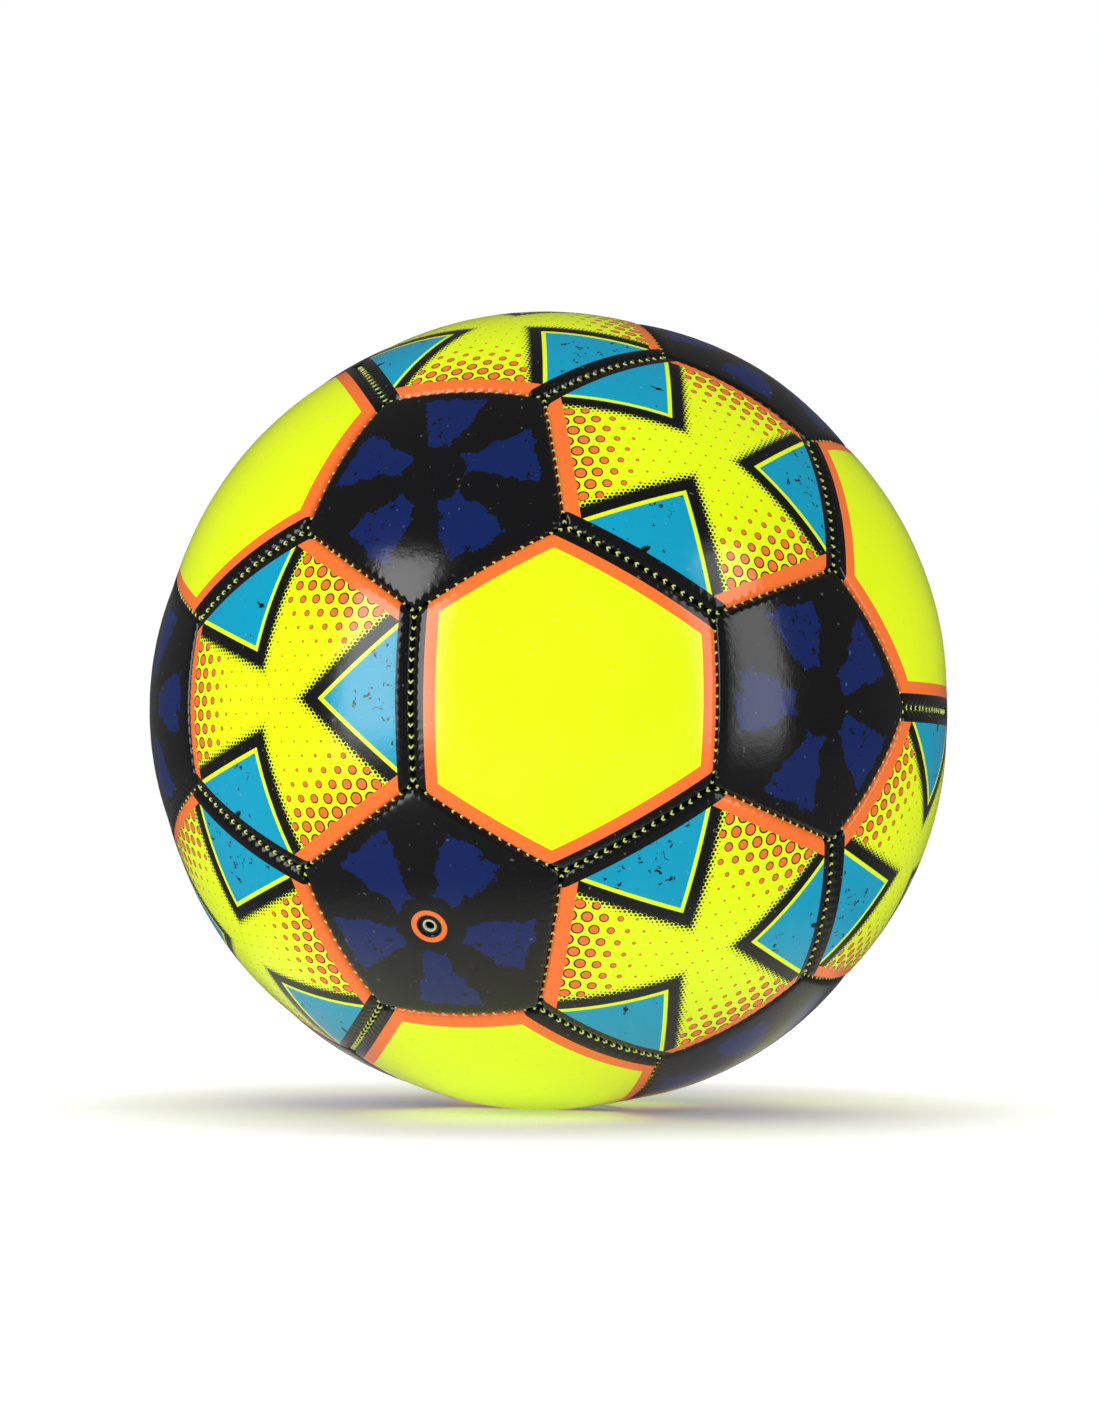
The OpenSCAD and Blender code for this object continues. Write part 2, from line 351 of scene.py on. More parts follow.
# Middle and radius of the discs in a panel's bake map
FACE_DISC = (0.5, 0.49)
BACK_DISC = (0.085, 0.075)


class PanelMesh:
    """A closed panel made ring by ring, from the middle of its face to the middle of its back."""

    def __init__(self):
        self.verts = []
        self.rays = []
        self.spread = []
        self.faces = []
        self.back_faces = []
        self.rings = []
        self.on_back = False

    def add(self, rays, radius, spread):
        """Adds a ring at a radius from the ball's centre; spread is its size in the bake map."""
        start = len(self.verts)
        self.verts.extend(rays * np.broadcast_to(radius, len(rays))[:, None])
        self.rays.extend(rays)
        self.spread.extend([spread] * len(rays))
        self.rings.append(range(start, start + len(rays)))
        if len(self.rings) > 1:
            self.bridge(*self.rings[-2:])

    def bridge(self, a, b):
        """Joins two rings, one of which may have a whole number of times as many points."""
        steps = max(len(a), len(b))
        for j in range(steps):
            a0, a1 = (a[(i * len(a) // steps) % len(a)] for i in (j, j + 1))
            b0, b1 = (b[(i * len(b) // steps) % len(b)] for i in (j, j + 1))
            corners = list(dict.fromkeys((a0, b0, b1, a1)))
            if len(corners) > 2:
                self.faces.append(corners)
                self.back_faces.append(self.on_back)

    def build(self, name, turn):
        """The mesh in its place on the ball, with its place in the print and its bake map."""
        size = sizes()
        rays = np.array(self.rays)
        verts = np.array(self.verts) @ turn.T
        uneven = [noise.noise(Vector(v) * SLACK_SCALE) for v in rays @ turn.T]
        verts *= 1 + size.slack / size.radius * np.array(uneven)[:, None]
        mesh = bpy.data.meshes.new(name)
        mesh.from_pydata(verts.tolist(), [], self.faces)
        mesh.polygons.foreach_set("use_smooth", [True] * len(mesh.polygons))
        places = mesh.attributes.new(PRINT, "FLOAT_VECTOR", "POINT")
        places.data.foreach_set("vector", (rays * size.radius).ravel())
        self.map_for_bake(mesh, rays)
        mesh.update()
        return mesh

    def map_for_bake(self, mesh, rays):
        """Lays the face out as one large disc, and the back as a small one in the map's corner."""
        across = np.hypot(rays[:, 0], rays[:, 1])
        flat = rays[:, :2] / np.maximum(across, TINY)[:, None]
        outline = across / np.maximum(ring_least(across, self.rings), TINY)
        reach = (np.array(self.spread) * outline)[:, None] * flat
        reach /= np.linalg.norm(reach, axis=1).max()
        front, back = (middle + radius * reach for middle, radius in (FACE_DISC, BACK_DISC))
        layer = mesh.uv_layers.new(name=BAKE_MAP)
        owners = np.array([v for face in self.faces for v in face])
        is_back = np.repeat(self.back_faces, [len(face) for face in self.faces])[:, None]
        layer.data.foreach_set("uv", np.where(is_back, back[owners], front[owners]).ravel())


def ring_least(values, rings):
    """The least value on each point's own ring."""
    least = np.zeros(len(values))
    for ring in rings:
        least[ring.start:ring.stop] = values[ring.start:ring.stop].min()
    return least


# Rings of a panel's face, from the seam inwards: inset in millimetres, and points in one stitch
FACE_RINGS = (
    (0.1, 4), (0.3, 4), (0.55, 4), (0.9, 4), (1.3, 4), (1.8, 4), (2.4, 4), (3.1, 4), (4.2, 4),
    (6.0, 2), (8.5, 2), (12.0, 1), (16.0, 1), (20.0, 1), (24.0, 1), (28.0, 1), (32.0, 1), (36.0, 1),
)
# Rings round the valve: distance outside the hole and depth in millimetres, and roundness
VALVE_RINGS = (
    (0.0, 1.4, 1.0), (0.0, 0.5, 1.0), (0.06, 0.26, 1.0), (0.2, 0.1, 1.0), (0.45, 0.02, 1.0),
    (0.9, 0.0, 1.0), (1.6, 0.0, 1.0), (2.6, 0.0, 1.0), (4.0, 0.0, 1.0), (6.0, 0.0, 0.9),
    (8.5, 0.0, 0.7), (11.5, 0.0, 0.45), (15.0, 0.0, 0.2),
)
# How far the plain rings stay off the valve's hole, and off the middle of a whole panel's back
VALVE_ZONE = 16 * MM
MIDDLE_ZONE = 3 * MM


def panel_shape(sides, half, hole=None):
    """One cover panel in its own frame: its face, its turned-down lip and its back."""
    size = sizes()
    panel = PanelMesh()
    reach = size.radius * half
    few = size.stitches

    def face(inset, per_side, roundness=0.0, sink=0.0):
        rays, share = ring_rays(sides, half, inset, per_side, roundness)
        radius = dome_radius(rays[:, 2], half) - edge_drop(rays, share, sides, half) - sink
        if hole:
            off_axis = size.radius * np.arccos(rays[:, 2])
            radius -= size.valve_dimple * np.exp(-((off_axis / size.dimple_reach) ** 2))
        panel.add(rays, radius, reach - inset)

    def inside(inset, roundness=0.0, depth=None):
        rays, _ = ring_rays(sides, half, inset, few, roundness)
        panel.add(rays, dome_radius(rays[:, 2], half) - (depth or size.cover), reach - inset)

    middle = np.array(((0.0, 0.0, 1.0),))
    if hole:
        for outside, sink, roundness in VALVE_RINGS:
            face(reach - hole - outside * MM, few, roundness, sink * MM)
    else:
        panel.add(middle, size.radius, 0.0)
    clear = hole + VALVE_ZONE if hole else MIDDLE_ZONE / 2
    for inset, points in reversed(FACE_RINGS):
        if inset * MM < reach - clear:
            face(inset * MM, points * few)
    edge, points = FACE_RINGS[0]
    rays, _ = ring_rays(sides, half, edge * MM, points * few)
    panel.add(rays, size.radius - size.lip, reach + size.lip)
    panel.on_back = True
    inside(size.cover, depth=size.lip - size.pillow_rise)
    inside(size.cover, depth=size.roll)
    inside(size.roll)
    inside(reach / 2)
    if hole:
        inside(reach - hole, 1.0)
        panel.bridge(panel.rings[-1], panel.rings[0])
    else:
        inside(reach - MIDDLE_ZONE)
        panel.add(middle, size.radius - size.cover, 0.0)
    return panel


def add_piece(mesh, node, material):
    """Puts a mesh in the scene as a piece that rides the ball and stands for a CAD node."""
    piece = bpy.data.objects.new(mesh.name, mesh)
    bpy.context.scene.collection.objects.link(piece)
    mesh.materials.append(material)
    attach(piece, BALL_BODY)
    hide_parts(node)


# Shader building

class Wiring:
    """Short forms for adding and joining the nodes of one tree."""

    def __init__(self, tree):
        self.tree = tree

    def node(self, kind, **settings):
        node = self.tree.nodes.new(kind)
        for key, value in settings.items():
            setattr(node, key, value)
        return node

    def put(self, socket, value):
        """Links a socket to another, or sets its value."""
        if isinstance(value, bpy.types.NodeSocket):
            self.tree.links.new(value, socket)
        elif socket.type == "RGBA":
            socket.default_value = (*value[:3], 1.0)
        else:
            socket.default_value = value

    def feed(self, node, inputs):
        """Links or sets a node's named sockets."""
        for key, value in inputs.items():
            self.put(node.inputs[key], value)

    def math(self, operation, a, b=0.0):
        node = self.node("ShaderNodeMath", operation=operation)
        self.put(node.inputs[0], a)
        self.put(node.inputs[1], b)
        return node.outputs[0]

    def vector(self, operation, a, b=(0.0, 0.0, 0.0)):
        node = self.node("ShaderNodeVectorMath", operation=operation)
        self.put(node.inputs[0], a)
        self.put(node.inputs[1], b)
        is_number = operation in ("DOT_PRODUCT", "LENGTH")
        return node.outputs["Value" if is_number else "Vector"]

    def least(self, values):
        return functools.reduce(lambda a, b: self.math("MINIMUM", a, b), values)

    def spread(self, value):
        """A value on all three axes of a vector."""
        node = self.node("ShaderNodeCombineXYZ")
        for socket in node.inputs:
            self.put(socket, value)
        return node.outputs[0]

    def ramp(self, value, low, high, to_low=0.0, to_high=1.0):
        """A smooth change from one value to another, as a value goes from low to high."""
        node = self.node("ShaderNodeMapRange", interpolation_type="SMOOTHSTEP")
        limits = {"From Min": low, "From Max": high, "To Min": to_low, "To Max": to_high}
        self.feed(node, {"Value": value} | limits)
        return node.outputs["Result"]

    def below(self, value, limit, soft=INK_EDGE):
        """1 where a value is under a limit, with a soft printed edge."""
        return self.ramp(self.math("SUBTRACT", value, limit), -soft, soft, 1.0, 0.0)

    def mix(self, factor, a, b, blend="MIX"):
        """A mix of two colours, whose sockets come after those for numbers and vectors."""
        node = self.node("ShaderNodeMix", data_type="RGBA", blend_type=blend)
        factor_in, _, _, _, _, _, a_in, b_in = node.inputs[:8]
        _, _, colour_out = node.outputs[:3]
        self.put(factor_in, factor)
        self.put(a_in, a)
        self.put(b_in, b)
        return colour_out

    def noise(self, place, scale, detail=2.0, roughness=0.5):
        """Noise from 0 to 1, with its scale in cells to a metre."""
        node = self.node("ShaderNodeTexNoise")
        cells = {"Scale": scale, "Detail": detail, "Roughness": roughness}
        self.feed(node, {"Vector": place} | cells)
        return node.outputs["Fac"]

    def group(self, make, **inputs):
        """Places a shared node group, which is built on its first use."""
        name = make.__name__.replace("_", " ").title()
        node = self.node("ShaderNodeGroup", node_tree=bpy.data.node_groups.get(name) or make(name))
        self.feed(node, {key.replace("_", " ").title(): value for key, value in inputs.items()})
        return node.outputs

    def bump(self, height, distance, strength):
        node = self.node("ShaderNodeBump")
        self.feed(node, {"Height": height, "Distance": distance, "Strength": strength})
        return node.outputs["Normal"]


def new_group(name, inputs, outputs):
    """An empty shader node group: its tree, its wiring, and its inner inputs and outputs."""
    tree = bpy.data.node_groups.new(name, "ShaderNodeTree")
    for direction, sockets in (("INPUT", inputs), ("OUTPUT", outputs)):
        for label, kind in sockets.items():
            tree.interface.new_socket(label, in_out=direction, socket_type="NodeSocket" + kind)
    wire = Wiring(tree)
    given = wire.node("NodeGroupInput").outputs
    return tree, wire, given, wire.node("NodeGroupOutput").inputs


def noise_by_share(wire, given, share, **settings):
    """Noise in a group, at a share of the scale that the group is given."""
    return wire.noise(given["Place"], wire.math("MULTIPLY", given["Scale"], share), **settings)


# Coated grain: scales of the coarser noises over the fine one's, and the fine one's relief
PEEL_SHARE = 0.2
CLOUD_SHARE = 0.016
SPECK_SHARE = 0.4
FINE_RELIEF = 0.5
# Levels of noise between which the ink's tone, the roughness and the dust change, and to what
TONE_LEVELS = (0.25, 0.75)
TONES = (0.96, 1.0)
SHEEN_LEVELS = (0.3, 0.7)
COVER_ROUGHNESS = (0.12, 0.17)
SPECK_LEVELS = (0.8, 0.87)


def coated_grain(name):
    """Fine grain, slow sheen changes, uneven ink and specks of dust on a coated cover."""
    tree, wire, given, out = new_group(
        name, {"Print": "Color", "Place": "Vector", "Scale": "Float"},
        {"Colour": "Color", "Roughness": "Float", "Height": "Float"},
    )
    fine = wire.noise(given["Place"], given["Scale"], detail=3.0)
    peel = noise_by_share(wire, given, PEEL_SHARE)
    cloud = noise_by_share(wire, given, CLOUD_SHARE, detail=4.0, roughness=0.6)
    specks = noise_by_share(wire, given, SPECK_SHARE, detail=0.0)
    tone = wire.spread(wire.ramp(cloud, *TONE_LEVELS, *TONES))
    inked = wire.mix(1.0, given["Print"], tone, "MULTIPLY")
    dusty = wire.ramp(specks, *SPECK_LEVELS, 0.0, DUST_SHOWN)
    wire.put(out["Colour"], wire.mix(dusty, inked, DUST))
    wire.put(out["Roughness"], wire.ramp(cloud, *SHEEN_LEVELS, *COVER_ROUGHNESS))
    wire.put(out["Height"], wire.math("ADD", wire.math("MULTIPLY", fine, FINE_RELIEF), peel))
    return tree


# Fine grain: levels of noise between which it changes, and the colour it gives its hollows and
# ridges, painted shade that darkens the hollows of its relief
GRAIN_LEVELS = (0.3, 0.7)
GRAIN_PAINTED_SHADE = (0.78, 1.0)


def fine_grain(name):
    """Fine broken surface of thread, rubber, foam and cloth over its colour, with painted shade in
    the hollows of its relief.
    """
    tree, wire, given, out = new_group(
        name,
        {"Plain": "Color", "Place": "Vector", "Scale": "Float", "Dull": "Float", "Glossy": "Float"},
        {"Colour": "Color", "Roughness": "Float", "Height": "Float"},
    )
    grain = wire.noise(given["Place"], given["Scale"], detail=3.0, roughness=0.6)
    # Painted shade: the colour is darkened where the grain's relief is low
    shade = wire.spread(wire.ramp(grain, *GRAIN_LEVELS, *GRAIN_PAINTED_SHADE))
    wire.put(out["Colour"], wire.mix(1.0, given["Plain"], shade, "MULTIPLY"))
    roughness = wire.ramp(grain, *GRAIN_LEVELS, given["Dull"], given["Glossy"])
    wire.put(out["Roughness"], roughness)
    wire.put(out["Height"], grain)
    return tree


# Worn ink: scales of the chips, and of the patches that have more of them, over that of the tears
CHIP_SHARE = 2.6
PATCH_SHARE = 0.35
# Levels of noise between which a patch begins, and above which ink is chipped off outside and in it
PATCH_LEVELS = (0.35, 0.65)
CHIP_LEVELS = (0.74, 0.6)
NOISE_MIDDLE = 0.5


def worn_ink(name):
    """Torn edges and chips of a print: a signed push on its edges, and a mask of chips."""
    tree, wire, given, out = new_group(
        name, {"Place": "Vector", "Scale": "Float"}, {"Push": "Float", "Chips": "Float"},
    )
    torn = wire.noise(given["Place"], given["Scale"], detail=5.0, roughness=0.7)
    wire.put(out["Push"], wire.math("SUBTRACT", torn, NOISE_MIDDLE))
    chips = noise_by_share(wire, given, CHIP_SHARE, detail=4.0, roughness=0.65)
    patches = noise_by_share(wire, given, PATCH_SHARE, detail=1.0)
    level = wire.ramp(patches, *PATCH_LEVELS, *CHIP_LEVELS)
    wire.put(out["Chips"], wire.math("GREATER_THAN", chips, level))
    return tree


def hexagon_sides(name):
    """Distances to the nearest pentagon seam and to the nearest hexagon seam of a hexagon."""
    labels = ("Pentagon Seam", "Hexagon Seam")
    tree, wire, given, out = new_group(name, {"Place": "Vector"}, dict.fromkeys(labels, "Float"))
    for first, label in enumerate(labels):
        angles = side_angles(HEX_SIDES)[first::2]
        wire.put(out[label], to_sides(wire, given["Place"], angles, HEX_HALF))
    return tree


def hexagon_bands(name):
    """A hexagon's field with a band along its pentagon seams and one along its hexagon seams."""
    kinds = ("Pentagon", "Hexagon")
    inputs = {"Field": "Color", "Place": "Vector"}
    for kind in kinds:
        inputs |= {kind + " Colour": "Color", kind + " Band": "Float"}
    tree, wire, given, out = new_group(name, inputs, {"Colour": "Color"})
    seams = wire.group(hexagon_sides, place=given["Place"])
    colour = given["Field"]
    for kind in kinds:
        in_band = wire.below(seams[kind + " Seam"], given[kind + " Band"])
        colour = wire.mix(in_band, colour, given[kind + " Colour"])
    wire.put(out["Colour"], colour)
    return tree


def worn_rays(name):
    """Mask of the worn rays on a pentagon, one towards the middle of each side."""
    tree, wire, given, out = new_group(
        name, {"Place": "Vector", "Start": "Float", "Margin": "Float"}, {"Rays": "Float"}
    )
    place = given["Place"]
    axes = wire.node("ShaderNodeSeparateXYZ")
    wire.put(axes.inputs[0], place)
    angle = wire.math("ARCTAN2", axes.outputs["Y"], axes.outputs["X"])
    half_step = math.pi / PENT_SIDES
    wedge = wire.math("SUBTRACT", wire.math("PINGPONG", angle, half_step), half_step / 2)
    middle = to_middle(wire, place)
    from_ray = wire.math("MULTIPLY", middle, wire.math("SINE", wedge))
    from_start = wire.math("SUBTRACT", given["Start"], middle)
    seam = to_sides(wire, place, side_angles(PENT_SIDES), PENT_HALF)
    from_end = wire.math("SUBTRACT", given["Margin"], seam)
    outside = wire.math("MAXIMUM", from_ray, wire.math("MAXIMUM", from_start, from_end))
    worn = wire.group(worn_ink, place=place, scale=WEAR_SCALE)
    torn = wire.math("ADD", outside, wire.math("MULTIPLY", worn["Push"], RAY_TEAR))
    kept = wire.math("SUBTRACT", 1.0, worn["Chips"])
    wire.put(out["Rays"], wire.math("MULTIPLY", wire.below(torn, 0.0), kept))
    return tree


def to_middle(wire, place):
    """Distance to a panel's axis."""
    return wire.vector("LENGTH", wire.vector("MULTIPLY", place, (1.0, 1.0, 0.0)))


def to_sides(wire, place, angles, half):
    """Distance to the nearest of some sides of a panel."""
    return wire.least([wire.vector("DOT_PRODUCT", place, side_normal(a, half)) for a in angles])


def dot_lattice(name):
    """Distance to the nearest point of a triangular lattice, as a share of its pitch."""
    tree, wire, given, out = new_group(
        name, {"Place": "Vector", "Pitch": "Float"}, {"Distance": "Float"}
    )
    # Points at the middles of cells of this width and height, and of the same cells moved by half
    wide, tall = 1.0, math.sqrt(3)
    half = 0.5
    pitches = wire.vector("DIVIDE", given["Place"], wire.spread(given["Pitch"]))
    scaled = wire.vector("DIVIDE", pitches, (wide, tall, 1.0))
    found = []
    for shift in (0.0, half):
        cell = wire.vector("FRACTION", wire.vector("ADD", scaled, (shift, shift, 0.0)))
        off = wire.vector("SUBTRACT", cell, (half, half, 0.0))
        found.append(wire.vector("LENGTH", wire.vector("MULTIPLY", off, (wide, tall, 0.0))))
    wire.put(out["Distance"], wire.least(found))
    return tree


def new_material(name):
    """A node material, with its wiring and its main shader."""
    material = bpy.data.materials.new(name)
    material.use_nodes = True
    return material, Wiring(material.node_tree), material.node_tree.nodes["Principled BSDF"]


def print_place(wire):
    """Place on a smooth ball, in the panel's own frame."""
    return wire.node("ShaderNodeAttribute", attribute_name=PRINT).outputs["Vector"]


def object_place(wire):
    """Place in the ball's frame."""
    return wire.node("ShaderNodeTexCoord").outputs["Object"]


def join_grain(wire, shader, grain, depth, strength):
    """Joins a grain's colour, roughness and relief to a shader."""
    normal = wire.bump(grain["Height"], depth, strength)
    surface = {"Base Color": grain["Colour"], "Roughness": grain["Roughness"], "Normal": normal}
    wire.feed(shader, surface)


def coat(wire, shader, colour):
    """Finishes a cover: its printed colour with a fine grain under a gloss."""
    grain = wire.group(coated_grain, print=colour, place=object_place(wire), scale=GRAIN_SCALE)
    join_grain(wire, shader, grain, GRAIN_DEPTH, GRAIN_STRENGTH)
    wire.feed(shader, {"Specular IOR Level": COVER_GLOSS})


def banded(wire, field, place):
    """A hexagon's field with its orange and dark bands."""
    width, tint = prints(), colours()
    return wire.group(
        hexagon_bands, field=field, place=place, pentagon_colour=tint.orange,
        pentagon_band=width.pentagon_band, hexagon_colour=tint.dark, hexagon_band=width.dark_band,
    )["Colour"]


def plain_hexagon_cover():
    """Yellow hexagon with bands along its seams."""
    width, tint = prints(), colours()
    material, wire, shader = new_material("plain_hexagon_cover")
    place = print_place(wire)
    seams = wire.group(hexagon_sides, place=place)
    in_line = wire.below(seams["Hexagon Seam"], width.dark_band + width.line_band)
    coat(wire, shader, banded(wire, wire.mix(in_line, tint.yellow, tint.orange), place))
    return material


def to_diamonds(wire, place):
    """Distance outside the nearest of the three half diamonds on a hexagon's hexagon seams."""
    width = prints()
    wide, high = width.diamond_width / 2, width.diamond_height
    edge = math.hypot(wide, high)
    outside = []
    for angle in side_angles(HEX_SIDES)[1::2]:
        seam = wire.vector("DOT_PRODUCT", place, side_normal(angle, HEX_HALF))
        along = wire.vector("DOT_PRODUCT", place, (-math.sin(angle), math.cos(angle), 0.0))
        across = wire.math("MULTIPLY", wire.math("ABSOLUTE", along), high / edge)
        inward = wire.math("MULTIPLY", wire.math("SUBTRACT", seam, high), wide / edge)
        outside.append(wire.math("ADD", across, inward))
    return wire.least(outside)


def printed_hexagon_cover():
    """Yellow hexagon with blue half diamonds, and dots that fade from them and from pentagons."""
    width, tint = prints(), colours()
    material, wire, shader = new_material("printed_hexagon_cover")
    place = print_place(wire)
    seams = wire.group(hexagon_sides, place=place)
    outside = to_diamonds(wire, place)
    worn = wire.group(worn_ink, place=place, scale=WEAR_SCALE)
    rim = width.diamond_line + width.diamond_rim
    fine = wire.group(dot_lattice, place=place, pitch=width.halftone)["Distance"]
    fade = wire.ramp(outside, rim, rim + width.halftone_reach, HALFTONE_SIZE, 0.0)
    field = wire.mix(wire.below(fine, fade, HALFTONE_EDGE), tint.yellow, tint.dark)
    large = wire.group(dot_lattice, place=place, pitch=width.dots)["Distance"]
    size = wire.ramp(seams["Pentagon Seam"], width.pentagon_band, width.dots_reach, *DOT_SIZES)
    size = wire.math("MULTIPLY", size, wire.ramp(outside, rim, rim + width.dots, 0.0, 1.0))
    rim_size = wire.math("MULTIPLY", size, DOT_RIM)
    field = wire.mix(wire.below(large, rim_size, DOT_EDGE), field, tint.dark)
    field = wire.mix(wire.below(large, size, DOT_EDGE), field, tint.orange)
    field = wire.mix(wire.below(outside, rim), field, tint.dark)
    field = wire.mix(wire.below(outside, width.diamond_line), field, tint.yellow)
    blue = wire.mix(worn["Chips"], tint.blue, tint.dark)
    coat(wire, shader, banded(wire, wire.mix(wire.below(outside, 0.0), field, blue), place))
    return material


def pentagon_cover(name, ring):
    """Dark pentagon with worn dark blue rays, and a ring round the valve where it has one."""
    width, tint = prints(), colours()
    material, wire, shader = new_material(name)
    place = print_place(wire)
    rays = wire.group(worn_rays, place=place, start=width.ray_start, margin=width.ray_margin)
    colour = wire.mix(rays["Rays"], tint.dark, tint.navy)
    if ring:
        middle = to_middle(wire, place)
        outer, inner = (wire.below(middle, r) for r in (width.ring_outer, width.ring_inner))
        in_ring = wire.math("SUBTRACT", outer, inner)
        colour = wire.mix(in_ring, colour, tint.orange)
    coat(wire, shader, colour)
    return material


# Fine surfaces: noise cells to a metre, roughness of hollows and of ridges, and depth
THREAD_FINISH = (5200.0, 0.65, 0.45, 0.04 * MM)
FOAM_FINISH = (900.0, 0.95, 0.75, 0.15 * MM)
LINING_FINISH = (1500.0, 0.95, 0.8, 0.1 * MM)
BLADDER_FINISH = (700.0, 0.65, 0.45, 0.05 * MM)
BOOT_FINISH = (1800.0, 0.6, 0.4, 0.04 * MM)
PLUG_FINISH = (1800.0, 0.55, 0.35, 0.03 * MM)
# Strength of their relief
FINE_STRENGTH = 0.5


def fine_surface(name, colour, finish, bore=None):
    """Thread, rubber, foam or cloth with a fine broken surface, with shade painted near black round
    the valve's axis inside the plug's hole when a radius is given.
    """
    scale, dull, glossy, depth = finish
    material, wire, shader = new_material(name)
    place = object_place(wire)
    # Painted shade: colours the plug near black within a radius of the valve's axis, inside its hole
    if bore:
        from_axis = wire.vector("LENGTH", wire.vector("CROSS_PRODUCT", place, valve_axis()))
        colour = wire.mix(wire.below(from_axis, bore), colour, colours().bore)
    grain = wire.group(fine_grain, plain=colour, place=place, scale=scale, dull=dull, glossy=glossy)
    join_grain(wire, shader, grain, depth, FINE_STRENGTH)
    return material


# Stitches

# One half of a stitch in millimetres: across the seam, along it and out of the ball
STITCH_PATH = (
    (0.0, 0.5, -1.2), (0.26, 0.22, -1.15), (0.46, -0.05, -1.25), (0.56, -0.22, -1.55),
    (0.6, -0.32, -2.3),
)
# Sides of the thread's tube
STITCH_SIDES = 6
# How far the stitches are raised in the pentagon seams and in the hexagon seams
PENTAGON_LIFT = 0.12 * MM
HEXAGON_LIFT = 0.4 * MM
# Spread of the stitches' lean in radians, and of their places
STITCH_TURN = 0.08
STITCH_SHIFT = 0.07 * MM


def tube(path, radius, around):
    """Vertices and faces of a closed tube along a path."""
    verts, faces = [], []
    for i, point in enumerate(path):
        ahead = unit(path[min(i + 1, len(path) - 1)] - path[max(i - 1, 0)])
        side = unit(np.cross(ahead, (0.0, 1.0, 0.0)))
        up = np.cross(side, ahead)
        for turn in side_angles(around):
            verts.append(point + radius * (math.cos(turn) * side + math.sin(turn) * up))
    for i in range(len(path) - 1):
        for k in range(around):
            a, b = i * around + k, i * around + (k + 1) % around
            faces.append((b, a, a + around, b + around))
    faces.append(tuple(range(around)))
    faces.append(tuple(reversed(range(len(verts) - around, len(verts)))))
    return np.array(verts), faces


def seam_stitches(name, seams, lift):
    """All the stitches of some seams, as one mesh."""
    size = sizes()
    draws = np.random.default_rng(len(seams))
    right = [np.array(point) * MM for point in STITCH_PATH]
    path = [point * (-1, 1, 1) for point in reversed(right)] + right[1:]
    template, template_faces = tube(path, size.thread / 2, STITCH_SIDES)
    side_half = math.atan(math.sin(HEX_HALF) * math.tan(math.pi / HEX_SIDES))
    verts, faces = [], []
    for axis, axis_half, beside, beside_half in seams:
        middle = panel_turn(axis, beside) @ (math.sin(axis_half), 0.0, math.cos(axis_half))
        across = unit(beside - middle * np.dot(beside, middle))
        along = np.cross(middle, across)
        for i in range(size.stitches):
            # Each stitch lies in the middle of its step along the seam
            angle = side_half * (2 * (i + 0.5) / size.stitches - 1)
            out = middle * math.cos(angle) + along * math.sin(angle)
            lean = draws.normal(0, STITCH_TURN)
            ahead = np.cross(out, across) * math.cos(lean) + across * math.sin(lean)
            place = np.column_stack((np.cross(ahead, out), ahead, out))
            domes = ((axis, axis_half), (beside, beside_half))
            height = sum(dome_radius(np.dot(out, top), half) for top, half in domes) / 2
            shift = draws.normal(0, STITCH_SHIFT, 3)
            first = len(verts) * len(template)
            faces += [tuple(first + v for v in face) for face in template_faces]
            verts.append((template + shift) @ place.T + out * (height + lift))
    mesh = bpy.data.meshes.new(name)
    mesh.from_pydata(np.concatenate(verts).tolist(), [], faces)
    mesh.polygons.foreach_set("use_smooth", [True] * len(mesh.polygons))
    mesh.update()
    return mesh


# Operators

class BallOperator:
    bl_options = {"REGISTER", "UNDO"}


class BALL_OT_hexagon_panels(BallOperator, bpy.types.Operator):
    """Make the hexagon cover panels"""

    bl_idname = "soccer_ball.hexagon_panels"
    bl_label = "Hexagon Panels"

    def execute(self, context):
        plain, printed = plain_hexagon_cover(), printed_hexagon_cover()
        shape = panel_shape(HEX_SIDES, HEX_HALF)
        nodes = panel_nodes("hexagon")
        plain_nodes = [nearest_node(axis, nodes) for axis in cube_axes()]
        for axis in hexagon_axes():
            node = nearest_node(axis, nodes)
            turn = panel_turn(axis, at_angle(axis, pentagon_axes(), PENT_TO_HEX)[0])
            material = plain if node in plain_nodes else printed
            mesh = shape.build(node + "_cover", turn)
            add_piece(mesh, node, material)
        return {"FINISHED"}


class BALL_OT_pentagon_panels(BallOperator, bpy.types.Operator):
    """Make the pentagon cover panels, one of them with the valve's hole"""

    bl_idname = "soccer_ball.pentagon_panels"
    bl_label = "Pentagon Panels"

    def execute(self, context):
        plain = panel_shape(PENT_SIDES, PENT_HALF), pentagon_cover("pentagon_cover", False)
        pierced = (
            panel_shape(PENT_SIDES, PENT_HALF, sizes().valve_hole),
            pentagon_cover("valve_pentagon_cover", True),
        )
        nodes = panel_nodes("pentagon")
        for axis in pentagon_axes():
            node = nearest_node(axis, nodes)
            turn = panel_turn(axis, at_angle(axis, hexagon_axes(), PENT_TO_HEX)[0])
            shape, material = pierced if node.startswith("valve") else plain
            mesh = shape.build(node + "_cover", turn)
            add_piece(mesh, node, material)
        return {"FINISHED"}


